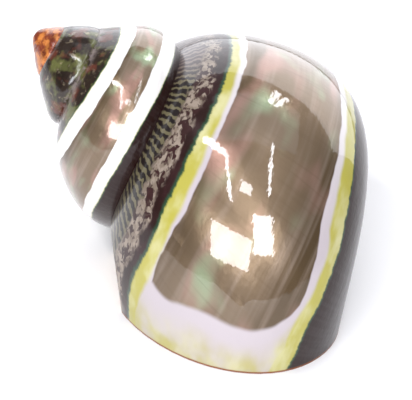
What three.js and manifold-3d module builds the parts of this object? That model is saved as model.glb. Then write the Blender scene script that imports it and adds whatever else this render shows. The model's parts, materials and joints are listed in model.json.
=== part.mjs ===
// A polished turban shell, resting on its mouth with the tip raised. Millimetres, +Z up.
import * as THREE from "three";
import { mergeVertices } from "three/addons/utils/BufferGeometryUtils.js";
import Module from "manifold-3d";

const wasm = await Module();
wasm.setup();

// Growth. Each whorl is the last one, turned about the shell's axis and enlarged about its tip.
const WHORL = 2 * Math.PI;
const WIDER_EACH_WHORL = 1.92;
const LONGER_EACH_WHORL = 2.364;

// The tube's section at growth angle 0: a leaning rounded oval beside the axis and below the tip.
const TUBE_HALF_WIDTH = 11;
const TUBE_HALF_LENGTH = 1.437 * TUBE_HALF_WIDTH;
const TUBE_FROM_AXIS = 0.936 * TUBE_HALF_WIDTH;
const TUBE_BELOW_TIP = 3.021 * TUBE_HALF_WIDTH;
const TUBE_LEAN = THREE.MathUtils.degToRad(-22.4);
const TUBE_SQUARENESS = 2.17;

// Where the tube starts and ends, in whorls from growth angle 0. It is hollow back from the mouth for
// most of a whorl, with a wall that is a share of the tube's half width.
const STEP = 1 / 24;
const STRETCH = 12 * STEP;
const FIRST_WHORL = -4;
const HOLLOW_START = -16 * STEP;
const MOUTH_WHORL = 6 * STEP;
const WALL_SHARE = 0.13;

// The flat ground on the lip by the suture: the direction that it faces away from, and how far along
// that direction from the tip it lies.
const LIP_FLAT_INWARD = [0.591, 0.417, -0.69];
const LIP_FLAT_FROM_TIP = 0.515 * TUBE_HALF_WIDTH;

// The solid pillar on the axis, which also closes the middle of the base.
const PILLAR_RADIUS = 0.3 * TUBE_HALF_WIDTH;
const CROSSING_BELOW_TIP = 1.753 * TUBE_HALF_WIDTH;
const PILLAR_BASE_BELOW_TIP = 2.65 * TUBE_HALF_WIDTH;
const PILLAR_LIP_BELOW_TIP = 4.2 * TUBE_HALF_WIDTH;
const NEAREST_AXIS = 0.02 * TUBE_HALF_WIDTH;

// The worn, blunt tip, and the cone that the first whorls are rubbed towards.
const TIP_RADIUS = 0.14 * TUBE_HALF_WIDTH;
const TIP_HALF_HEIGHT = 0.1 * TUBE_HALF_WIDTH;
const SPIRE_RADIUS = 1.22 * TUBE_HALF_WIDTH;
const SPIRE_WEAR = 0.75;
const WEAR_FULL_BELOW_TIP = 0.55 * TUBE_HALF_WIDTH;
const WEAR_ENDS_BELOW_TIP = 0.9 * TUBE_HALF_WIDTH;

// How the shell stands: the axis leans towards -X, and the mouth is turned down onto the table.
const AXIS_LEAN = THREE.MathUtils.degToRad(-55.05);
const MOUTH_TURN = THREE.MathUtils.degToRad(-78.3);
const TIP_HEIGHT = 2.333 * TUBE_HALF_WIDTH;
const GROUND_BLOCK = 12 * TUBE_HALF_WIDTH;

const SECTION_POINTS = 28;
const PILLAR_SIDES = 20;
const MERGE_DISTANCE = 1e-4;
const SLIVER = 0.02;

function enlargement(whorls) {
  return { wide: WIDER_EACH_WHORL ** whorls, long: LONGER_EACH_WHORL ** whorls };
}

function powered(value) {
  return Math.sign(value) * Math.abs(value) ** (2 / TUBE_SQUARENESS);
}

// A point of the section: its distance from the axis, and its distance below the tip.
function sectionPoint(index, share) {
  const turn = (index / SECTION_POINTS) * 2 * Math.PI;
  const across = TUBE_HALF_WIDTH * share * powered(Math.cos(turn));
  const along = TUBE_HALF_LENGTH * share * powered(-Math.sin(turn));
  const radius = TUBE_FROM_AXIS + across * Math.cos(TUBE_LEAN) - along * Math.sin(TUBE_LEAN);
  const below = TUBE_BELOW_TIP + across * Math.sin(TUBE_LEAN) + along * Math.cos(TUBE_LEAN);
  return { radius: Math.max(radius, NEAREST_AXIS), below };
}

function placed(point, whorls) {
  const { wide, long } = enlargement(whorls);
  const bearing = MOUTH_TURN - whorls * WHORL;
  const radius = point.radius * wide;
  return [radius * Math.cos(bearing), radius * Math.sin(bearing), -point.below * long];
}

// A closed stretch of the tube, in the shell's own frame: tip at the origin, axis along Z.
function stretch(startWhorl, endWhorl, share) {
  const section = [];
  for (let i = 0; i < SECTION_POINTS; i++) {
    section.push(sectionPoint(i, share));
  }
  const centre = { radius: TUBE_FROM_AXIS, below: TUBE_BELOW_TIP };
  const steps = Math.round((endWhorl - startWhorl) / STEP);
  const positions = [];
  for (let step = 0; step <= steps; step++) {
    const whorls = startWhorl + step * STEP;
    section.forEach((point) => positions.push(...placed(point, whorls)));
  }
  positions.push(...placed(centre, startWhorl), ...placed(centre, endWhorl));

  const faces = [];
  const lastRing = steps * SECTION_POINTS;
  const firstCentre = lastRing + SECTION_POINTS;
  for (let i = 0; i < SECTION_POINTS; i++) {
    const next = (i + 1) % SECTION_POINTS;
    for (let ring = 0; ring < lastRing; ring += SECTION_POINTS) {
      const ahead = ring + SECTION_POINTS;
      faces.push(ring + i, ring + next, ahead + i);
      faces.push(ring + next, ahead + next, ahead + i);
    }
    faces.push(firstCentre, next, i);
    faces.push(firstCentre + 1, lastRing + i, lastRing + next);
  }
  const geometry = new THREE.BufferGeometry();
  geometry.setAttribute("position", new THREE.Float32BufferAttribute(positions, 3));
  geometry.setIndex(faces);
  return geometry;
}

// The radius of something round that widens down the axis at the tube's own rate. It is given where two
// whorls cross inside.
function widening(radius, below) {
  const rate = Math.log(WIDER_EACH_WHORL) / Math.log(LONGER_EACH_WHORL);
  return radius * (below / CROSSING_BELOW_TIP) ** rate;
}

function pillar(endBelowTip) {
  const profile = [new THREE.Vector2(0, -endBelowTip)];
  for (let below = endBelowTip; below > TIP_HALF_HEIGHT; below *= 0.8) {
    profile.push(new THREE.Vector2(widening(PILLAR_RADIUS, below), -below));
  }
  profile.push(new THREE.Vector2(0, -TIP_HALF_HEIGHT));
  return new THREE.LatheGeometry(profile, PILLAR_SIDES).rotateX(Math.PI / 2);
}

function wornTip() {
  const geometry = new THREE.SphereGeometry(1, 12, 8);
  geometry.scale(TIP_RADIUS, TIP_RADIUS, TIP_HALF_HEIGHT);
  return geometry.translate(0, 0, -1.1 * TIP_HALF_HEIGHT);
}

// A closed three.js geometry as a solid.
function solidOf(geometry) {
  const bare = new THREE.BufferGeometry();
  const flat = geometry.index ? geometry.toNonIndexed() : geometry;
  bare.setAttribute("position", flat.getAttribute("position"));
  const merged = mergeVertices(bare, MERGE_DISTANCE);
  return new wasm.Manifold(
    new wasm.Mesh({
      numProp: 3,
      vertProperties: merged.attributes.position.array,
      triVerts: new Uint32Array(merged.index.array),
    }),
  );
}

function geometryOf(solid) {
  const mesh = solid.getMesh();
  const geometry = new THREE.BufferGeometry();
  geometry.setAttribute("position", new THREE.BufferAttribute(mesh.vertProperties, 3));
  geometry.setIndex(new THREE.BufferAttribute(mesh.triVerts, 1));
  geometry.computeVertexNormals();
  return geometry;
}

function joined(solids) {
  return solids.reduce((whole, solid) => whole.add(solid));
}

// Faces that lie in one plane can leave slivers with no volume, which are dropped.
function largestBody(solid) {
  const bodies = solid.decompose();
  return bodies.reduce((best, body) => (body.volume() > best.volume() ? body : best));
}

// The tube's whole outside is joined from stretches of half a whorl, so that none meets itself. Past
// growth angle 0 the flat by the suture is cut.
function tube(startWhorl, endWhorl) {
  const stretches = [];
  for (let whorl = startWhorl; whorl < endWhorl - STEP / 2; whorl += STRETCH) {
    const end = Math.min(whorl + STRETCH, endWhorl);
    const piece = solidOf(stretch(whorl, end, 1));
    stretches.push(end > 0 ? piece.trimByPlane(LIP_FLAT_INWARD, LIP_FLAT_FROM_TIP) : piece);
  }
  return joined(stretches);
}

// Rubs the first whorls towards a plain cone, so that their sutures are shallow.
function wornSpire(solid) {
  return solid.warp((vertex) => {
    const below = -vertex[2];
    const radius = Math.hypot(vertex[0], vertex[1]);
    if (below > 0 && below < WEAR_ENDS_BELOW_TIP && radius > NEAREST_AXIS / 10) {
      const share = (WEAR_ENDS_BELOW_TIP - below) / (WEAR_ENDS_BELOW_TIP - WEAR_FULL_BELOW_TIP);
      const factor = 1 + Math.min(share, 1) * SPIRE_WEAR * (widening(SPIRE_RADIUS, below) / radius - 1);
      vertex[0] *= factor;
      vertex[1] *= factor;
    }
  });
}

function shellSolid(restingPlace) {
  const body = tube(FIRST_WHORL, MOUTH_WHORL);
  const inside = solidOf(stretch(HOLLOW_START, MOUTH_WHORL + STEP, 1 - WALL_SHARE));
  const whorlBefore = tube(HOLLOW_START - 1 - STEP, HOLLOW_START);
  const underFlat = LIP_FLAT_FROM_TIP + WALL_SHARE * TUBE_HALF_WIDTH;
  const hollow = inside.trimByPlane(LIP_FLAT_INWARD, underFlat).subtract(whorlBefore);
  const lipPillar = solidOf(pillar(PILLAR_LIP_BELOW_TIP)).intersect(body);
  const walls = body.subtract(hollow);
  const base = solidOf(pillar(PILLAR_BASE_BELOW_TIP));
  const whole = wornSpire(joined([walls, lipPillar, base, solidOf(wornTip())]));

  const ground = new THREE.BoxGeometry(GROUND_BLOCK, GROUND_BLOCK, GROUND_BLOCK);
  ground.translate(0, 0, -GROUND_BLOCK / 2);
  ground.applyMatrix4(restingPlace.clone().invert());
  return largestBody(whole.subtract(solidOf(ground)).simplify(SLIVER));
}

function shell() {
  const restingPlace = new THREE.Matrix4().makeRotationY(AXIS_LEAN);
  restingPlace.setPosition(0, 0, TIP_HEIGHT);
  const surface = new THREE.MeshStandardMaterial({
    color: 0x9c8468,
    roughness: 0.12,
    metalness: 0,
  });
  const mesh = new THREE.Mesh(geometryOf(shellSolid(restingPlace)), surface);
  mesh.name = "shell";
  mesh.applyMatrix4(restingPlace);
  return mesh;
}

const turbanShell = new THREE.Group();
turbanShell.add(shell());

// The frame's origin is on the table, under the middle of the shell.
const middle = new THREE.Box3().setFromObject(turbanShell, true).getCenter(new THREE.Vector3());
turbanShell.position.set(-middle.x, -middle.y, 0);

export default turbanShell;
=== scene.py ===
"""A polished turban shell resting on its mouth: the coiled shell, its bands, its pearl and its tapestry pattern."""

from functools import partial
import json
import math

import bpy
from bpy.props import FloatProperty, FloatVectorProperty, PointerProperty
from mathutils import Matrix, Vector

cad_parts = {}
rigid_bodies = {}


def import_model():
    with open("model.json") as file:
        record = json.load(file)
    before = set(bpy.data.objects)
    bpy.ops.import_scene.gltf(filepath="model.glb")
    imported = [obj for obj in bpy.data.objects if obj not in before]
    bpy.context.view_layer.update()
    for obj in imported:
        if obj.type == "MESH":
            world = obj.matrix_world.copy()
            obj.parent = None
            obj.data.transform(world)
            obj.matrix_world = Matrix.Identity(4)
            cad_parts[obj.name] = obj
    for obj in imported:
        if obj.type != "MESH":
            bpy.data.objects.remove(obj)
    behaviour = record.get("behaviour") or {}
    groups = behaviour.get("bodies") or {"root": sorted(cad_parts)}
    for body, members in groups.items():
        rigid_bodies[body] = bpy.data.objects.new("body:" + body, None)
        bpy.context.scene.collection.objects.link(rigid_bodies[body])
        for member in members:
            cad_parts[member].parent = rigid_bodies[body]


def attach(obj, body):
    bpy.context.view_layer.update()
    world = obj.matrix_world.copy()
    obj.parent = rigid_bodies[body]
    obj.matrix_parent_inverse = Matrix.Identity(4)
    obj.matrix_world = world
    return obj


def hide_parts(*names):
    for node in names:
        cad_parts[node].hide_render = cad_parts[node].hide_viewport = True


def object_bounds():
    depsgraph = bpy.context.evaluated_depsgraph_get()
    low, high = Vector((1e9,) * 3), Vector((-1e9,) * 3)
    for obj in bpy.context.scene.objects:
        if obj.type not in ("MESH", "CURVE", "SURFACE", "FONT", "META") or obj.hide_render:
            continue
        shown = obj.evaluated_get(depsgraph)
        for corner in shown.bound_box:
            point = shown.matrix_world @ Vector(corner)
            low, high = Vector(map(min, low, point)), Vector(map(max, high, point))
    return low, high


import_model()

bl_info = {
    "name": "Turban Shell",
    "version": (1, 0, 0),
    "blender": (4, 5, 0),
    "location": "View3D > Sidebar > Turban Shell",
    "description": "Grows a polished turban shell and sets it on a pale floor",
    "category": "Add Mesh",
}

CAD_LOW, CAD_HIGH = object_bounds()
CAD_LENGTH = CAD_HIGH.x - CAD_LOW.x
MM = 0.001

# The tube's section, in half widths of the tube, before any growth.
HALF_WIDTHS_IN_LENGTH = 3.881
HALF_LENGTH = 1.437
FROM_AXIS = 0.936
BELOW_TIP = 3.021
LEAN = math.radians(22.4)
ROUND_HANDLE = 0.5523
SQUARER_HANDLE = 0.604
NEAREST_AXIS = 0.02

# How far the tube runs, in whorls from growth angle 0, and how finely it is made.
STEPS_IN_WHORL = 96
STEP = 1 / STEPS_IN_WHORL
STRETCH = 48 * STEP
FIRST_WHORL = -4.0
HOLLOW_START = -64 * STEP
MOUTH_WHORL = 24 * STEP
SECTION_POINTS = 64
MERGE_DISTANCE = 0.0005 * MM
SMOOTH_UNDER = math.radians(38)
# Each stretch but the first starts a step early with a narrowed ring, inside the stretch before.
PLUG_SHARE = 0.7

# The flat ground on the lip by the suture: the direction that it faces, and its distance from the tip.
LIP_FLAT_FACING = Vector((-0.591, -0.417, 0.69))
LIP_FLAT_FROM_TIP = -0.515
FLAT_BLOCK = 8.0

# The pillar on the axis and the cone that the worn spire is rubbed towards, from here to there below
# the tip, in half widths. Two whorls cross inside at the crossing.
SPINDLE_SIDES = 48
SPINDLE_STEPS_IN_WHORL = 12
CROSSING_BELOW_TIP = 1.753
BASE_PILLAR = (0.1, 2.65)
LIP_PILLAR = (0.1, 4.2)
WEAR_CONE = (0.02, 2.0)
WEAR_FULL_BELOW_TIP = 0.55
WEAR_ENDS_BELOW_TIP = 0.9

# The blunt tip, in half widths.
TIP_MIDDLE_BELOW = 0.11
TIP_RADII = (0.14, 0.14, 0.1)

# How the shell stands.
AXIS_LEAN = math.radians(-55.05)
MOUTH_TURN = math.radians(-78.3)
TIP_HEIGHT = 2.333
GROUND_BLOCK = 12

# The surface map: across it runs the turn round the tube's section, up it runs the growth.
MAP_NAME = "Growth"
MAP_FIRST_WHORL = -5.0
MAP_WHORLS = 6.0

# What one degree measures on the last whorl, where the pattern shows most, in millimetres: a degree of
# growth along the spiral, and a degree of turn across it.
GROWTH_DEGREE_MM = 0.35
TURN_DEGREE_MM = 0.25

# The view, in degrees, and from the tip in half widths of the tube.
VIEW_AZIMUTH = 18.27
VIEW_ELEVATION = 33.92
VIEW_DISTANCE = 24.36
AIM_FROM_TIP = Vector((2.057, -0.375, -1.489))
LENS = 199.2
SENSOR = 36.0
NEAREST_SEEN = 0.01

# Daylight through a window, in linear red, green and blue.
LAMP_COLOUR = (0.93, 0.95, 1.0)
ROOM_COLOUR = (0.9, 0.92, 0.95, 1.0)
ROOM_STRENGTH = 0.2


def linear(hex_colour):
    """An sRGB hex colour as linear red, green and blue, and opaque."""
    channels = [int(hex_colour[i : i + 2], 16) / 255 for i in (1, 3, 5)]
    return (*(c / 12.92 if c <= 0.04045 else ((c + 0.055) / 1.055) ** 2.4 for c in channels), 1.0)


class TurbanShellSettings(bpy.types.PropertyGroup):
    """Sizes and colours of the shell."""

    tube_half_width: FloatProperty(
        name="Tube half width",
        description="Half the width of the last whorl's tube, which sets the shell's size",
        default=CAD_LENGTH / HALF_WIDTHS_IN_LENGTH,
        unit="LENGTH",
        subtype="DISTANCE",
    )
    wider_each_whorl: FloatProperty(
        name="Wider each whorl", description="How many times wider each whorl is", default=1.92
    )
    longer_each_whorl: FloatProperty(
        name="Longer each whorl", description="How many times further from the tip", default=2.364
    )
    wall_share: FloatProperty(
        name="Wall",
        description="The wall's thickness as a share of the tube's half width",
        default=0.13,
        subtype="FACTOR",
    )
    pillar_radius: FloatProperty(
        name="Pillar radius", description="The axis pillar's radius, in tube half widths", default=0.3
    )
    spire_radius: FloatProperty(
        name="Spire radius",
        description="The worn spire's cone, where whorls cross, in tube half widths",
        default=1.22,
    )
    spire_wear: FloatProperty(
        name="Spire wear", description="How far the first whorls are rubbed to a cone", default=0.75, subtype="FACTOR"
    )
    pearl_colour: FloatVectorProperty(
        name="Pearl", description="The pearl band", default=linear("#57452f"), size=4, subtype="COLOR"
    )
    yellow_colour: FloatVectorProperty(
        name="Yellow", description="The yellow edging", default=linear("#a69e45"), size=4, subtype="COLOR"
    )
    white_colour: FloatVectorProperty(
        name="White", description="The white edging", default=linear("#dcd8d5"), size=4, subtype="COLOR"
    )
    dark_colour: FloatVectorProperty(
        name="Dark", description="The dark outer layer", default=linear("#210d0a"), size=4, subtype="COLOR"
    )


class TurbanStageSettings(bpy.types.PropertyGroup):
    """The floor and the lights."""

    floor_size: FloatProperty(
        name="Floor size", description="The floor's side", default=3.0, unit="LENGTH", subtype="DISTANCE"
    )
    light_level: FloatProperty(
        name="Light level", description="Multiplies every lamp", default=1.0, subtype="FACTOR"
    )
    floor_colour: FloatVectorProperty(
        name="Floor", description="The pale floor", default=linear("#ebe9e8"), size=4, subtype="COLOR"
    )


# ---- modelling ----


def select_only(*objects):
    bpy.ops.object.select_all(action="DESELECT")
    for thing in objects:
        thing.select_set(True)
    bpy.context.view_layer.objects.active = objects[0]


def select_vertices(thing, wanted):
    """Selects just the wanted vertices, ready for edit mode."""
    select_only(thing)
    bpy.ops.object.mode_set(mode="EDIT")
    bpy.ops.mesh.select_all(action="DESELECT")
    bpy.ops.object.mode_set(mode="OBJECT")
    for vertex in thing.data.vertices:
        vertex.select = wanted(vertex)


def settled(thing, location=(0, 0, 0), rotation=(0, 0, 0), scale=(1, 1, 1)):
    """Moves, turns and sizes an object, and puts the change into its mesh."""
    select_only(thing)
    thing.location = location
    thing.rotation_euler = rotation
    thing.scale = scale
    bpy.ops.object.transform_apply(location=True, rotation=True, scale=True)


def applied(thing, kind, **settings):
    """Adds a modifier and applies it."""
    select_only(thing)
    modifier = thing.modifiers.new(kind.title(), kind)
    for name, value in settings.items():
        setattr(modifier, name, value)
    bpy.ops.object.modifier_apply(modifier=modifier.name)


def cut_or_joined(thing, tool, operation):
    """Joins, cuts or keeps what is common with another closed mesh, which is used up."""
    settings = {"object": tool, "operation": operation, "solver": "MANIFOLD"}
    applied(thing, "BOOLEAN", material_mode="TRANSFER", **settings)
    bpy.data.objects.remove(tool)
    return thing


def joined(pieces):
    whole = pieces[0]
    for piece in pieces[1:]:
        cut_or_joined(whole, piece, "UNION")
    return whole


def enlargement(shape, whorls):
    wide = shape.wider_each_whorl**whorls
    return (wide, wide, shape.longer_each_whorl**whorls)


def section_ring(shape, share):
    """The tube's section at growth angle 0: a squarish oval that leans, beside the axis."""
    bpy.ops.object.select_all(action="DESELECT")
    bpy.ops.curve.primitive_bezier_circle_add(radius=1)
    ring = bpy.context.object
    for point in ring.data.splines[0].bezier_points:
        for side in ("handle_left", "handle_right"):
            setattr(point, side + "_type", "FREE")
            reach = getattr(point, side) - point.co
            setattr(point, side, point.co + reach * SQUARER_HANDLE / ROUND_HANDLE)
    ring.data.resolution_u = SECTION_POINTS // 4
    bpy.ops.object.convert(target="MESH")

    unit = shape.tube_half_width
    settled(ring, scale=(share * unit, share * HALF_LENGTH * unit, 1))
    settled(ring, rotation=(0, 0, LEAN))
    settled(ring, location=(FROM_AXIS * unit, 0, -BELOW_TIP * unit), rotation=(math.pi / 2, 0, 0))

    limit = NEAREST_AXIS * unit
    select_vertices(ring, lambda vertex: vertex.co.x < limit)
    bpy.ops.object.mode_set(mode="EDIT")
    bpy.ops.transform.resize(value=(0, 1, 1), center_override=(limit, 0, 0))
    bpy.ops.object.mode_set(mode="OBJECT")
    return ring


def map_strip(strip, start_whorl):
    """Writes the surface map of a strip of two rings, whose seam lies on the tube's inner side."""
    layer = strip.data.uv_layers.new(name=MAP_NAME)
    first = (start_whorl - MAP_FIRST_WHORL) / MAP_WHORLS
    for face in strip.data.polygons:
        places = [strip.data.loops[i].vertex_index % SECTION_POINTS for i in face.loop_indices]
        crosses_seam = max(places) - min(places) > 1
        for i, place in zip(face.loop_indices, places):
            ring = strip.data.loops[i].vertex_index // SECTION_POINTS
            turn = SECTION_POINTS if crosses_seam and place == 0 else place
            layer.data[i].uv = (1 - turn / SECTION_POINTS, first + ring * STEP / MAP_WHORLS)


def tube_stretch(shape, start_whorl, end_whorl, share, material, plugs_in=False):
    """A closed stretch of the tube, under one whorl long, grown from one strip by an array. It can plug
    into the stretch before."""
    start_whorl -= STEP * plugs_in
    strip = section_ring(shape, share)
    settled(strip, rotation=(0, 0, MOUTH_TURN - start_whorl * math.tau), scale=enlargement(shape, start_whorl))
    bpy.ops.object.mode_set(mode="EDIT")
    bpy.ops.mesh.select_all(action="SELECT")
    bpy.ops.mesh.extrude_region_move()
    bpy.ops.transform.rotate(value=STEP * math.tau, orient_axis="Z", center_override=(0, 0, 0))
    bpy.ops.transform.resize(value=enlargement(shape, STEP), center_override=(0, 0, 0))
    bpy.ops.object.mode_set(mode="OBJECT")
    map_strip(strip, start_whorl)

    bpy.ops.object.empty_add(rotation=(0, 0, -STEP * math.tau))
    next_step = bpy.context.object
    next_step.scale = enlargement(shape, STEP)
    bpy.context.view_layer.update()
    applied(
        strip,
        "ARRAY",
        count=round((end_whorl - start_whorl) / STEP),
        use_relative_offset=False,
        use_object_offset=True,
        offset_object=next_step,
        use_merge_vertices=True,
        merge_threshold=MERGE_DISTANCE,
        offset_v=STEP / MAP_WHORLS,
    )
    bpy.data.objects.remove(next_step)
    if plugs_in:
        select_vertices(strip, lambda vertex: vertex.index < SECTION_POINTS)
        bpy.ops.object.mode_set(mode="EDIT")
        bpy.ops.transform.resize(value=(PLUG_SHARE, PLUG_SHARE, PLUG_SHARE))
    bpy.ops.object.mode_set(mode="EDIT")
    bpy.ops.mesh.select_all(action="SELECT")
    bpy.ops.mesh.fill_holes(sides=0)
    bpy.ops.mesh.select_all(action="SELECT")
    bpy.ops.mesh.normals_make_consistent(inside=False)
    bpy.ops.object.mode_set(mode="OBJECT")
    strip.data.materials.append(material)
    return strip


def lip_flattened(piece, shape, depth, material):
    """Cuts the flat by the suture, a little deeper if wanted."""
    middle = LIP_FLAT_FACING.normalized() * (LIP_FLAT_FROM_TIP - depth + FLAT_BLOCK / 2) * shape.tube_half_width
    facing = LIP_FLAT_FACING.to_track_quat("Z", "Y").to_euler()
    block = box(FLAT_BLOCK * shape.tube_half_width, middle, facing, material)
    return cut_or_joined(piece, block, "DIFFERENCE")


def tube(shape, start_whorl, end_whorl, material, lip=None):
    """The tube's outside, joined from stretches of half a whorl. Past growth angle 0 the flat is cut."""
    stretches = []
    count = math.ceil((end_whorl - start_whorl) / STRETCH - STEP)
    for number in range(count):
        start = start_whorl + number * STRETCH
        end = min(start + STRETCH, end_whorl)
        piece = tube_stretch(shape, start, end, 1, material, plugs_in=number > 0)
        stretches.append(lip_flattened(piece, shape, 0, lip) if end > 0 else piece)
    return joined(stretches)


def spindle(shape, radius, start_below_tip, end_below_tip):
    """A solid round the axis: a small disc drawn down the axis and widened at the tube's rate. Its
    radius is given where two whorls cross inside."""
    unit = shape.tube_half_width
    rate = math.log(shape.wider_each_whorl) / math.log(shape.longer_each_whorl)
    whorls = math.log(end_below_tip / start_below_tip) / math.log(shape.longer_each_whorl)
    steps = math.ceil(whorls * SPINDLE_STEPS_IN_WHORL)
    bpy.ops.object.select_all(action="DESELECT")
    bpy.ops.mesh.primitive_circle_add(
        vertices=SPINDLE_SIDES,
        radius=radius * (start_below_tip / CROSSING_BELOW_TIP) ** rate * unit,
        fill_type="NGON",
    )
    post = bpy.context.object
    settled(post, location=(0, 0, -start_below_tip * unit))
    bpy.ops.object.mode_set(mode="EDIT")
    bpy.ops.mesh.select_all(action="SELECT")
    for _ in range(steps):
        bpy.ops.mesh.extrude_region_move()
        bpy.ops.transform.resize(value=enlargement(shape, whorls / steps), center_override=(0, 0, 0))
    bpy.ops.mesh.select_all(action="SELECT")
    bpy.ops.mesh.normals_make_consistent(inside=False)
    bpy.ops.object.mode_set(mode="OBJECT")
    return post


def pillar(shape, reach, material):
    """The solid pillar on the axis."""
    post = spindle(shape, shape.pillar_radius, *reach)
    post.data.materials.append(material)
    return post


def wear_spire(shell, shape):
    """Rubs the first whorls towards a plain cone, so that their sutures are shallow."""
    unit = shape.tube_half_width
    cone = spindle(shape, shape.spire_radius, *WEAR_CONE)
    group = shell.vertex_groups.new(name="Worn")
    for vertex in shell.data.vertices:
        below_tip = -vertex.co.z / unit
        wear = (WEAR_ENDS_BELOW_TIP - below_tip) / (WEAR_ENDS_BELOW_TIP - WEAR_FULL_BELOW_TIP)
        if wear > 0:
            group.add([vertex.index], min(wear, 1.0) * shape.spire_wear, "REPLACE")
    applied(shell, "SHRINKWRAP", target=cone, wrap_method="NEAREST_SURFACEPOINT", vertex_group=group.name)
    shell.vertex_groups.clear()
    bpy.data.objects.remove(cone)


def worn_tip(shape, material):
    """The blunt tip, a flattened ball."""
    unit = shape.tube_half_width
    bpy.ops.object.select_all(action="DESELECT")
    bpy.ops.mesh.primitive_uv_sphere_add(segments=32, ring_count=16, radius=unit)
    tip = bpy.context.object
    settled(tip, location=(0, 0, -TIP_MIDDLE_BELOW * unit), scale=TIP_RADII)
    tip.data.materials.append(material)
    return tip


def box(side, middle, rotation, material):
    """A block that cuts the shell. The cut faces take its material."""
    bpy.ops.object.select_all(action="DESELECT")
    bpy.ops.mesh.primitive_cube_add(size=side)
    block = bpy.context.object
    settled(block, location=middle, rotation=rotation)
    block.data.materials.append(material)
    return block


def grown_shell(shape, outside, pearl, lip):
    """The whole shell as one closed mesh, standing on the table with its tip over the origin."""
    body = tube(shape, FIRST_WHORL, MOUTH_WHORL, outside, lip)
    hollow = tube_stretch(shape, HOLLOW_START, MOUTH_WHORL + STEP, 1 - shape.wall_share, pearl)
    lip_flattened(hollow, shape, shape.wall_share, pearl)
    whorl_before = tube(shape, HOLLOW_START - 1 - STEP, HOLLOW_START, pearl)
    cut_or_joined(hollow, whorl_before, "DIFFERENCE")

    # Near the mouth the pillar is what the hollow leaves standing inside the body.
    cut_or_joined(hollow, pillar(shape, LIP_PILLAR, pearl), "DIFFERENCE")
    cut_or_joined(body, hollow, "DIFFERENCE")
    shell = joined([body, pillar(shape, BASE_PILLAR, pearl), worn_tip(shape, outside)])
    wear_spire(shell, shape)
    tip_height = TIP_HEIGHT * shape.tube_half_width
    settled(shell, location=(0, 0, tip_height), rotation=(0, AXIS_LEAN, 0))
    side = GROUND_BLOCK * shape.tube_half_width
    cut_or_joined(shell, box(side, (0, 0, -side / 2), (0, 0, 0), lip), "DIFFERENCE")
    return shell


def without_specks(shell):
    """Removes the loose specks that a cut may leave: only what hangs together with the top stays."""
    top = max(vertex.co.z for vertex in shell.data.vertices)
    select_vertices(shell, lambda vertex: vertex.co.z == top)
    bpy.ops.object.mode_set(mode="EDIT")
    bpy.ops.mesh.select_linked()
    bpy.ops.mesh.select_all(action="INVERT")
    bpy.ops.mesh.delete(type="VERT")
    bpy.ops.object.mode_set(mode="OBJECT")


# ---- materials ----


def add_node(tree, kind, inputs=(), output=0, points=(), **settings):
    """Adds a node with its settings and, on a curve, its points. Its inputs are values or links, in
    order or under their names. Gives back one of its outputs, if it has any."""
    node = tree.nodes.new("ShaderNode" + kind)
    for name, value in settings.items():
        setattr(node, name, value)
    for key, value in inputs.items() if isinstance(inputs, dict) else enumerate(inputs):
        if isinstance(value, bpy.types.NodeSocket):
            tree.links.new(value, node.inputs[key])
        else:
            node.inputs[key].default_value = value
    if points:
        curve = node.mapping.curves[0]
        curve.points[0].location, curve.points[1].location = points[0], points[-1]
        for point in points[1:-1]:
            curve.points.new(*point)
        node.mapping.update()
    return node.outputs[output] if node.outputs else node


# The colour sockets of a Mix node.
SHARE, UNDER, OVER, MIXED = 0, 6, 7, 2
# A Map Range node with this runs smoothly from its first value to its second, by default 0 and 1.
SMOOTH = {"interpolation_type": "SMOOTHSTEP"}


def new_material(name):
    """An empty material, and what adds nodes to it."""
    material = bpy.data.materials.new(name)
    material.use_nodes = True
    material.node_tree.nodes.clear()
    return material, partial(add_node, material.node_tree)


# The borders of the bands: (growth in whorls, turn round the section in degrees from its outermost
# point, rising towards the tip).
SHOULDER_EDGE = [(-1.3, 28), (-1.08, 27), (-0.94, 32), (-0.6, 28), (-0.31, 23.5), (-0.19, 22.5),
                 (-0.03, 21.5), (0.02, 18.5), (0.08, 16.5), (0.12, 10), (0.16, 4)]
SHOULDER_YELLOW_EDGE = [(-1.3, 27.3), (-1.08, 26.3), (-0.94, 31.3), (-0.6, 26), (-0.31, 20), (-0.17, 17.5),
                        (-0.03, 14.5), (0.02, 12), (0.08, 10), (0.12, 4), (0.16, 0)]
SHOULDER_WHITE_EDGE = [(-1.3, 9.5), (-1.05, 11), (-0.86, 17), (-0.6, 17), (-0.31, 15.5), (-0.17, 15),
                       (-0.1, 14), (-0.03, 12), (0.03, 11), (0.06, 9), (0.16, 6)]
BASE_WHITE_EDGE = [(-1.3, -21), (-1.05, -24), (-0.85, -24), (-0.5, -30), (-0.25, -35), (-0.15, -41),
                   (-0.1, -45), (-0.06, -52), (-0.03, -54), (0.16, -54)]
BASE_YELLOW_EDGE = [(-1.3, -44), (-1.1, -42), (-0.98, -38), (-0.85, -35), (-0.5, -38), (-0.21, -41.5),
                    (-0.15, -46), (-0.1, -52), (-0.06, -58), (0.0, -55), (0.16, -52)]
BASE_EDGE = [(-1.3, -44.5), (-1.1, -42.5), (-0.98, -38.5), (-0.85, -35.5), (-0.5, -41), (-0.28, -46.5),
             (-0.2, -50.5), (-0.13, -58.5), (-0.06, -65.5), (0.0, -64), (0.16, -63)]
# Where the pearl stops before the lip: (turn in degrees, growth in degrees).
PEARL_END = [(-75, -30), (-58, -17), (-50, -5), (-40, 2), (-28, 6), (-15, 9), (-6, 13), (3, 17.5), (12, 18), (40, 18)]

# What the curves of those borders cover, from where and how far.
GROWTH_FROM, GROWTH_SPAN = -1.3, 1.46
TURN_FROM, TURN_SPAN = -80.0, 130.0
END_FROM, END_SPAN = -40.0, 70.0


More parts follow.
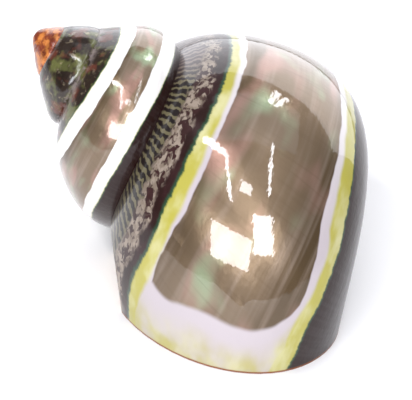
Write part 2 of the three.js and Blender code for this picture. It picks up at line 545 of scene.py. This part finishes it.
class ShellMap:
    """The places that the pattern is drawn by: growth in whorls and degrees, and turn in degrees."""

    def __init__(self, add):
        surface_map = add("UVMap", uv_map=MAP_NAME)
        across = add("SeparateXYZ", (surface_map,), "X")
        along = add("SeparateXYZ", (surface_map,), "Y")
        self.add = add
        self.whorls = add("Math", (along, MAP_WHORLS, MAP_FIRST_WHORL), operation="MULTIPLY_ADD")
        self.growth = add("Math", (self.whorls, 360.0), operation="MULTIPLY")
        self.turn = add("Math", (across, 360.0, -180.0), operation="MULTIPLY_ADD")

    def placed(self, along, across):
        """A point in pattern space, where one unit is so many millimetres along the spiral and across it."""
        x = self.add("Math", (self.growth, along / GROWTH_DEGREE_MM), operation="DIVIDE")
        y = self.add("Math", (self.turn, across / TURN_DEGREE_MM), operation="DIVIDE")
        return self.add("CombineXYZ", (x, y))

    def past_border(self, turn, points):
        """How many degrees a turn lies past a border, towards the tip. The border changes with growth."""
        whole = [((g - GROWTH_FROM) / GROWTH_SPAN, (t - TURN_FROM) / TURN_SPAN) for g, t in points]
        grown = self.add("MapRange", (self.whorls, GROWTH_FROM, GROWTH_FROM + GROWTH_SPAN))
        border = self.add("FloatCurve", {"Value": grown}, points=whole)
        border = self.add("Math", (border, TURN_SPAN, TURN_FROM), operation="MULTIPLY_ADD")
        return self.add("Math", (turn, border), operation="SUBTRACT")


def pearl_colours(add, shell_map, shape):
    """Pearl under the polish: olive brown by its borders, paler in the middle by a painted sheen, with
    silver streaks along the spiral that are partly its grain and partly painted sheen, slow streaks of
    pink and green along the spiral and faint lines across it."""
    streaks = add("TexNoise", {"Vector": shell_map.placed(24.5, 1.5), "Scale": 1.0, "Roughness": 0.55})
    clouds = add("TexNoise", {"Vector": shell_map.placed(11.9, 4.25), "Scale": 1.0, "Detail": 1.0})
    patches = add("TexNoise", {"Vector": shell_map.placed(8.4, 5.0), "Scale": 1.0, "Detail": 1.5})
    lines = add("TexNoise", {"Vector": shell_map.placed(0.455, 10.0), "Scale": 1.0})

    # Painted sheen: the middle of the band is painted paler and its borders stay olive brown, in place of the
    # reflection that lightens the middle.
    from_middle = add("Math", (shell_map.turn, 14.0), operation="ADD")
    from_middle = add("Math", (from_middle,), operation="ABSOLUTE")
    middle = add("MapRange", (from_middle, 10.0, 29.0, 0.8, 0.0), **SMOOTH)
    # The silver streaks along the spiral are partly the pearl's own streaky grain and partly painted sheen.
    silver = add("MapRange", (streaks, 0.45, 0.75, 0.0, 0.5), **SMOOTH)
    pink = add("MapRange", (clouds, 0.5, 0.68, 0.0, 0.7), **SMOOTH)
    green = add("MapRange", (patches, 0.52, 0.72), **SMOOTH)
    green = add("Math", (green, middle), operation="MULTIPLY")
    lines = add("MapRange", (lines, 0.25, 0.5, 0.22, 0.0), **SMOOTH)

    layers = [
        (middle, linear("#7b6853")),
        (silver, linear("#998778")),
        (pink, linear("#9f7a6e")),
        (green, linear("#91a582")),
        (lines, linear("#5e4c38")),
    ]
    colour = shape.pearl_colour
    for share, over in layers:
        colour = add("Mix", {SHARE: share, UNDER: colour, OVER: over}, MIXED, data_type="RGBA")
    return colour


def tapestry_colours(add, shell_map, shape):
    """The shoulder's outer layer: short olive bars by the suture, one each 1.5 mm, then tan flames with
    maroon islands, then plain dark brown up to the band."""
    warp = add("TexNoise", {"Vector": shell_map.placed(4.55, 2.25), "Scale": 1.0, "Roughness": 0.6})
    small_warp = add("TexNoise", {"Vector": shell_map.placed(1.4, 1.125), "Scale": 1.0})
    sway = add("Math", (warp, 1.3, -0.65), operation="MULTIPLY_ADD")
    sway = add("Math", (small_warp, 0.9, sway), operation="MULTIPLY_ADD")
    phase = add("Math", (shell_map.growth, GROWTH_DEGREE_MM / 1.54, sway), operation="MULTIPLY_ADD")
    phase = add("Math", (phase, math.tau), operation="MULTIPLY")
    bars = add("Math", (phase,), operation="SINE")
    bars = add("MapRange", (bars, -0.1, 0.6, 0.0, 0.85), **SMOOTH)

    bend_along = add("Math", (warp, 3.0, -1.5), operation="MULTIPLY_ADD")
    bend_across = add("Math", (small_warp, 1.2), operation="MULTIPLY")
    bend = add("CombineXYZ", (bend_along, bend_across))
    place = add("VectorMath", (shell_map.placed(1.925, 1.625), bend), operation="ADD")
    flames = add("TexNoise", {"Vector": place, "Scale": 1.0, "Roughness": 0.6})
    flames = add("MapRange", (flames, 0.42, 0.5), **SMOOTH)
    islands = add("TexNoise", {"Vector": shell_map.placed(1.05, 0.65), "Scale": 1.0, "Detail": 1.0})
    islands = add("MapRange", (islands, 0.54, 0.6, 0.0, 0.7), **SMOOTH)
    flames = add("Math", (flames, islands), operation="SUBTRACT")

    # The zones sway with the pattern. They are told by the turn past the shoulder's edge.
    past_edge = shell_map.past_border(shell_map.turn, SHOULDER_EDGE)
    past_edge = add("Math", (warp, 12.0, past_edge), operation="MULTIPLY_ADD")
    past_edge = add("Math", (small_warp, 6.0, past_edge), operation="MULTIPLY_ADD")
    flames_start = add("MapRange", (past_edge, 14.0, 18.0), **SMOOTH)
    flames_end = add("MapRange", (past_edge, 27.0, 32.0, 1.0, 0.0), **SMOOTH)
    flame_zone = add("Math", (flames_start, flames_end), operation="MULTIPLY")
    bars_start = add("MapRange", (past_edge, 25.0, 28.0), **SMOOTH)
    bars_end = add("MapRange", (shell_map.turn, 54.0, 60.0, 1.0, 0.0), **SMOOTH)
    bar_zone = add("Math", (bars_start, bars_end), operation="MULTIPLY")
    early = add("MapRange", (shell_map.growth, -80.0, -52.0, 1.0, 0.0), **SMOOTH)

    maroon = add("MapRange", (warp, 0.4, 0.65), **SMOOTH)
    pale_flames = add("MapRange", (small_warp, 0.4, 0.6), **SMOOTH)
    flame_colours = {SHARE: pale_flames, UNDER: linear("#75675a"), OVER: linear("#8d7f72")}
    ground_colours = {SHARE: early, UNDER: linear("#191110"), OVER: linear("#3a2a2a")}
    bar_colours = {SHARE: early, UNDER: linear("#686047"), OVER: linear("#74645d")}
    layers = [
        (maroon, linear("#2e1617")),
        (add("Math", (flame_zone, 0.5), operation="MULTIPLY"), linear("#38201f")),
        (add("Math", (flame_zone, flames), operation="MULTIPLY"), add("Mix", flame_colours, MIXED, data_type="RGBA")),
        (bar_zone, add("Mix", ground_colours, MIXED, data_type="RGBA")),
        (add("Math", (bars, bar_zone), operation="MULTIPLY"), add("Mix", bar_colours, MIXED, data_type="RGBA")),
    ]
    colour = shape.dark_colour
    for share, over in layers:
        colour = add("Mix", {SHARE: share, UNDER: colour, OVER: over}, MIXED, data_type="RGBA")
    return colour


def base_colours(add, shell_map, shape):
    """The base's outer layer: smooth, purple brown, with faint lines along the lip."""
    lines = add("TexNoise", {"Vector": shell_map.placed(0.525, 7.5), "Scale": 1.0})
    lines = add("MapRange", (lines, 0.4, 0.7), **SMOOTH)
    return add("Mix", {SHARE: lines, UNDER: shape.dark_colour, OVER: linear("#291a19")}, MIXED, data_type="RGBA")


def spire_colours(add, shell_map):
    """The first whorls: dark brown with moss green patches, partly the shell's own green and partly a painted
    highlight, and rust, greyer by the sutures, orange at the tip.
    """
    place = add("TexCoord", output="Object")
    patches = add("TexNoise", {"Vector": place, "Scale": 1 / (3.2 * MM), "Detail": 3.0, "Roughness": 0.6})
    flecks = add("TexNoise", {"Vector": place, "Scale": 1 / (0.9 * MM), "Detail": 3.0, "Roughness": 0.6})
    rust = add("TexNoise", {"Vector": place, "Scale": 1 / (2.0 * MM)})

    by_suture = add("Math", (shell_map.turn,), operation="ABSOLUTE")
    by_suture = add("MapRange", (by_suture, 44.0, 58.0, 0.0, 0.7), **SMOOTH)
    grey_flecks = add("MapRange", (flecks, 0.4, 0.55), **SMOOTH)
    orange = add("MapRange", (flecks, 0.4, 0.62), **SMOOTH)
    tip_colours = {SHARE: orange, UNDER: linear("#74301a"), OVER: linear("#c07436")}
    worn = add("Math", (patches, 0.5, shell_map.whorls), operation="MULTIPLY_ADD")
    layers = [
        # The moss green patches are partly the spire's own green and partly a painted highlight.
        (add("MapRange", (patches, 0.5, 0.62), **SMOOTH), linear("#57582f")),
        (add("MapRange", (rust, 0.52, 0.66, 0.0, 0.8), **SMOOTH), linear("#5c2e20")),
        (add("MapRange", (flecks, 0.58, 0.7, 0.0, 0.55), **SMOOTH), linear("#90816a")),
        (add("Math", (by_suture, grey_flecks), operation="MULTIPLY"), linear("#8b7e7b")),
        (add("MapRange", (worn, -2.55, -2.2, 1.0, 0.0), **SMOOTH), add("Mix", tip_colours, MIXED, data_type="RGBA")),
    ]
    colour = linear("#251911")
    for share, over in layers:
        colour = add("Mix", {SHARE: share, UNDER: colour, OVER: over}, MIXED, data_type="RGBA")
    return colour


def outside_material(shape):
    """Turban shell, ground through its coloured layers and polished. The gloss is a clear, wet-looking
    coat. The outer layer is dark and patterned; under it come thin yellow and white, then pearl, whose
    sheen is drawn out along the spiral."""
    material, add = new_material("Turban shell, ground and polished")
    shell_map = ShellMap(add)
    wander = add("TexNoise", {"Vector": shell_map.placed(4.2, 7.5), "Scale": 1.0})
    wander = add("Math", (wander, 4.0, -2.0), operation="MULTIPLY_ADD")
    turn = add("Math", (shell_map.turn, wander), operation="ADD")
    ragged = {"Vector": shell_map.placed(0.77, 2.25), "Scale": 1.0, "Detail": 3.0, "Roughness": 0.6}
    ragged = add("Math", (add("TexNoise", ragged), 2.8, -1.4), operation="MULTIPLY_ADD")
    ragged_turn = add("Math", (turn, ragged), operation="ADD")

    # Past the pearl's end the layers come back one by one towards the lip.
    across = add("MapRange", (turn, TURN_FROM, TURN_FROM + TURN_SPAN))
    ends = [((t - TURN_FROM) / TURN_SPAN, (g - END_FROM) / END_SPAN) for t, g in PEARL_END]
    pearl_end = add("FloatCurve", {"Value": across}, points=ends)
    pearl_end = add("Math", (pearl_end, END_SPAN, END_FROM), operation="MULTIPLY_ADD")
    past_pearl = add("Math", (shell_map.growth, pearl_end), operation="SUBTRACT")
    lip_white = add("MapRange", (past_pearl, -0.8, 1.2), **SMOOTH)
    lip_yellow = add("Math", (past_pearl, wander), operation="ADD")
    lip_yellow = add("MapRange", (lip_yellow, 4.0, 15.0), **SMOOTH)
    lip_patches = add("TexNoise", {"Vector": shell_map.placed(3.85, 3.75), "Scale": 1.0})
    lip_patches = add("MapRange", (lip_patches, 0.35, 0.65, 0.25, 0.85), **SMOOTH)
    lip_yellow = add("Math", (lip_yellow, lip_patches), operation="MULTIPLY")

    # Each layer shows above its border on the shoulder and below its border on the base. The dark outer
    # layer starts a little way past the thin green line at its edge.
    past = shell_map.past_border(turn, SHOULDER_WHITE_EDGE)
    shoulder_white = add("MapRange", (past, -0.5, 0.5), **SMOOTH)
    past = shell_map.past_border(turn, BASE_WHITE_EDGE)
    base_white = add("MapRange", (past, -0.6, 0.6, 1.0, 0.0), **SMOOTH)
    past = shell_map.past_border(turn, SHOULDER_YELLOW_EDGE)
    shoulder_yellow = add("MapRange", (past, -1.3, 1.3), **SMOOTH)
    past = shell_map.past_border(turn, BASE_YELLOW_EDGE)
    base_yellow = add("MapRange", (past, -1.6, 1.6, 1.0, 0.0), **SMOOTH)
    past = shell_map.past_border(ragged_turn, SHOULDER_EDGE)
    shoulder_green = add("MapRange", (past, -0.7, 0.7), **SMOOTH)
    shoulder = add("MapRange", (past, 0.6, 2.6), **SMOOTH)
    past = shell_map.past_border(ragged_turn, BASE_EDGE)
    base_green = add("MapRange", (past, -0.7, 0.7, 1.0, 0.0), **SMOOTH)
    base = add("MapRange", (past, -2.1, -0.3, 1.0, 0.0), **SMOOTH)

    white = add("Math", (shoulder_white, lip_white), operation="MAXIMUM")
    white = add("Math", (white, base_white), operation="MAXIMUM")
    yellow = add("Math", (shoulder_yellow, lip_yellow), operation="MAXIMUM")
    yellow = add("Math", (yellow, base_yellow), operation="MAXIMUM")
    green = add("Math", (shoulder_green, base_green), operation="MAXIMUM")
    outer = add("Math", (shoulder, base), operation="MAXIMUM")
    covered = add("Math", (white, outer), operation="MAXIMUM")

    near_lip = add("MapRange", (shell_map.growth, -110.0, -25.0), **SMOOTH)
    white_colours = {SHARE: near_lip, UNDER: shape.white_colour, OVER: linear("#b3a9ad")}
    pale = add("TexNoise", {"Vector": shell_map.placed(5.6, 3.5), "Scale": 1.0, "Detail": 3.0})
    pale = add("MapRange", (pale, 0.42, 0.66), **SMOOTH)
    yellow_colours = {SHARE: pale, UNDER: shape.yellow_colour, OVER: linear("#bbb683")}
    spire = spire_colours(add, shell_map)
    shoulder_early = add("MapRange", (shell_map.whorls, -0.88, -0.8, 1.0, 0.0), **SMOOTH)
    shoulder_colours = {SHARE: shoulder_early, UNDER: tapestry_colours(add, shell_map, shape), OVER: spire}
    all_early = add("MapRange", (shell_map.whorls, -1.5, -1.42, 1.0, 0.0), **SMOOTH)
    height = add("SeparateXYZ", (add("TexCoord", output="Object"),), "Z")
    ground_edge = add("MapRange", (height, 0.15 * MM, 0.35 * MM, 1.0, 0.0), **SMOOTH)
    layers = [
        (white, add("Mix", white_colours, MIXED, data_type="RGBA")),
        (yellow, add("Mix", yellow_colours, MIXED, data_type="RGBA")),
        (green, linear("#24402c")),
        (shoulder, add("Mix", shoulder_colours, MIXED, data_type="RGBA")),
        (base, base_colours(add, shell_map, shape)),
        (all_early, spire),
        (ground_edge, linear("#7a431f")),
    ]
    colour = pearl_colours(add, shell_map, shape)
    for share, over in layers:
        colour = add("Mix", {SHARE: share, UNDER: colour, OVER: over}, MIXED, data_type="RGBA")

    # The hand polish leaves the surface a little wavy, the layers under the coat more than the coat.
    relief = {"Vector": shell_map.placed(3.15, 1.75), "Scale": 1.0, "Detail": 3.0, "Roughness": 0.6}
    relief = add("TexNoise", relief)
    inputs = {
        "Base Color": colour,
        "Metallic": add("Math", (covered, -0.5, 0.5), operation="MULTIPLY_ADD"),
        "Roughness": 0.3,
        "Anisotropic": 0.75,
        "Tangent": add("Tangent", direction_type="UV_MAP", uv_map=MAP_NAME),
        "IOR": 1.55,
        "Specular IOR Level": 0.15,
        "Coat Weight": add("Math", (outer, -0.4, 1.0), operation="MULTIPLY_ADD"),
        "Coat Roughness": 0.02,
        "Coat IOR": 1.5,
        "Normal": add("Bump", {"Height": relief, "Strength": 0.4, "Distance": 0.15 * MM}),
        "Coat Normal": add("Bump", {"Height": relief, "Strength": 0.15, "Distance": 0.15 * MM}),
    }
    add("OutputMaterial", {"Surface": add("BsdfPrincipled", inputs)})
    return material


def pearl_material():
    """Mother-of-pearl, as it grew on the inside: silvery and smooth, with slow pink and green shifts."""
    material, add = new_material("Mother-of-pearl, natural inside")
    clouds = add("TexNoise", {"Vector": ShellMap(add).placed(10.5, 8.75), "Scale": 1.0})
    pink = add("MapRange", (clouds, 0.4, 0.6), **SMOOTH)
    colours = {SHARE: pink, UNDER: linear("#c9cdbf"), OVER: linear("#dcc8c2")}
    inputs = {
        "Base Color": add("Mix", colours, MIXED, data_type="RGBA"),
        "Metallic": 0.3,
        "Roughness": 0.24,
        "Coat Weight": 0.6,
        "Coat Roughness": 0.08,
    }
    add("OutputMaterial", {"Surface": add("BsdfPrincipled", inputs)})
    return material


def lip_material():
    """Turban shell, ground flat at the lip, where it shows its layers: chalky cream with brown grains."""
    material, add = new_material("Turban shell, ground lip")
    place = add("TexCoord", output="Object")
    grain = add("TexNoise", {"Vector": place, "Scale": 1 / (0.6 * MM), "Detail": 3.0})
    brown = add("MapRange", (grain, 0.4, 0.65), **SMOOTH)
    colours = {SHARE: brown, UNDER: linear("#cfc2a4"), OVER: linear("#a97c50")}
    inputs = {
        "Base Color": add("Mix", colours, MIXED, data_type="RGBA"),
        "Roughness": 0.45,
        "Coat Weight": 0.3,
        "Coat Roughness": 0.2,
    }
    add("OutputMaterial", {"Surface": add("BsdfPrincipled", inputs)})
    return material


# ---- operators ----


class TURBAN_OT_shell(bpy.types.Operator):
    """Grow the shell, with its bands, its pearl and its tapestry pattern"""

    bl_idname = "turban.shell"
    bl_label = "Turban shell"

    def execute(self, context):
        shape = context.scene.turban_shell
        materials = (outside_material(shape), pearl_material(), lip_material())
        shell = grown_shell(shape, *materials)
        shell.name = "turban_shell"
        without_specks(shell)
        bpy.ops.object.shade_smooth_by_angle(angle=SMOOTH_UNDER)
        corners = [vertex.co for vertex in shell.data.vertices]
        middle_x = (min(c.x for c in corners) + max(c.x for c in corners)) / 2
        middle_y = (min(c.y for c in corners) + max(c.y for c in corners)) / 2
        cad_middle = (CAD_LOW + CAD_HIGH) / 2
        place = Vector((cad_middle.x - middle_x, cad_middle.y - middle_y, CAD_LOW.z))
        settled(shell, location=place)
        # The lamps and the camera are set out from the tip.
        shape["tip"] = (place.x, place.y, TIP_HEIGHT * shape.tube_half_width)
        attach(shell, "root")
        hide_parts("shell")
        return {"FINISHED"}


def direction(azimuth, elevation):
    """Azimuth 0 is the -Y side and 90 is +X, both in degrees."""
    a, e = math.radians(azimuth), math.radians(elevation)
    return Vector((math.sin(a) * math.cos(e), -math.cos(a) * math.cos(e), math.sin(e)))


def lamp(name, aim, start, end, width, brightness, distance=0.8):
    """A flat lamp that faces the shell and reaches from one direction to another. Its brightness is what
    it shows in a mirror, whatever its size."""
    start, end = direction(*start) * distance, direction(*end) * distance
    facing = (start + end).normalized()
    along = (end - start).normalized()
    bpy.ops.object.select_all(action="DESELECT")
    bpy.ops.object.light_add(type="AREA", location=aim + (start + end) / 2)
    light = bpy.context.object
    light.name = name
    light.rotation_euler = Matrix((along.cross(facing), along, facing)).transposed().to_euler()
    light.data.shape = "RECTANGLE"
    light.data.size = width
    light.data.size_y = (end - start).length
    light.data.energy = brightness * math.pi * width * light.data.size_y
    light.data.color = LAMP_COLOUR
    light.visible_camera = False


class TURBAN_OT_stage(bpy.types.Operator):
    """Set out the pale floor, the soft lamps and the camera"""

    bl_idname = "turban.stage"
    bl_label = "Stage"

    def execute(self, context):
        scene = context.scene
        shape, stage = scene.turban_shell, scene.turban_stage
        unit = shape.tube_half_width
        tip = Vector(shape["tip"])
        aim = tip + AIM_FROM_TIP * unit

        bpy.ops.object.select_all(action="DESELECT")
        bpy.ops.mesh.primitive_plane_add(size=stage.floor_size)
        floor = context.object
        floor.name = "floor"
        # Smooth white paper, calendered but uncoated: pale and matt.
        paper, add = new_material("White paper, calendered")
        surface = add("BsdfPrincipled", {"Base Color": stage.floor_colour, "Roughness": 0.7})
        add("OutputMaterial", {"Surface": surface})
        floor.data.materials.append(paper)

        level = stage.light_level
        lamp("window_left", aim, (-11, 14), (-11, 31), 0.38, 13 * level)
        lamp("window_right", aim, (15, 23), (15, 44), 0.22, 17 * level)
        lamp("backdrop", aim, (180, 2), (180, 52), 1.9, 2.6 * level, 0.9)
        lamp("overhead", aim, (195, 66), (15, 82), 0.8, 1.0 * level, 0.9)
        lamp("left_tube", aim, (-70, 55), (-40, 65), 0.05, 22 * level)
        lamp("left_tube_end", aim, (-38, 65), (-16, 45), 0.03, 22 * level)
        lamp("right_tube", aim, (76, 80), (21, 54), 0.025, 22 * level)
        lamp("back_pane_left", aim, (171, 56), (171, 68), 0.035, 16 * level)
        lamp("back_pane_right", aim, (163, 56), (163, 68), 0.035, 16 * level)
        lamp("front_pane", aim, (-4, 52), (-4, 58), 0.11, 16 * level)

        world = bpy.data.worlds.new("Pale room")
        scene.world = world
        world.use_nodes = True
        background = world.node_tree.nodes["Background"]
        background.inputs["Color"].default_value = ROOM_COLOUR
        background.inputs["Strength"].default_value = ROOM_STRENGTH

        bpy.ops.object.camera_add(
            location=aim + direction(VIEW_AZIMUTH, VIEW_ELEVATION) * VIEW_DISTANCE * unit,
            rotation=(math.radians(90 - VIEW_ELEVATION), 0, math.radians(VIEW_AZIMUTH)),
        )
        camera = context.object
        camera.data.lens = LENS
        camera.data.sensor_width = SENSOR
        camera.data.clip_start = NEAREST_SEEN
        scene.camera = camera
        scene.view_settings.view_transform = "Standard"
        return {"FINISHED"}


class TURBAN_PT_panel(bpy.types.Panel):
    """Lists what the add-on makes"""

    bl_idname = "TURBAN_PT_panel"
    bl_label = "Turban Shell"
    bl_space_type = "VIEW_3D"
    bl_region_type = "UI"
    bl_category = "Turban Shell"

    def draw(self, context):
        layout = self.layout
        for group in (context.scene.turban_shell, context.scene.turban_stage):
            for name in group.bl_rna.properties.keys():
                if name not in ("rna_type", "name"):
                    layout.prop(group, name)
        layout.operator(TURBAN_OT_shell.bl_idname)
        layout.operator(TURBAN_OT_stage.bl_idname)


CLASSES = (TurbanShellSettings, TurbanStageSettings, TURBAN_OT_shell, TURBAN_OT_stage, TURBAN_PT_panel)


def register():
    for kind in CLASSES:
        bpy.utils.register_class(kind)
    bpy.types.Scene.turban_shell = PointerProperty(type=TurbanShellSettings)
    bpy.types.Scene.turban_stage = PointerProperty(type=TurbanStageSettings)


def unregister():
    del bpy.types.Scene.turban_stage
    del bpy.types.Scene.turban_shell
    for kind in reversed(CLASSES):
        bpy.utils.unregister_class(kind)


def main():
    register()
    bpy.ops.turban.shell()
    bpy.ops.turban.stage()
    bpy.context.view_layer.update()


if __name__ == "__main__":
    main()
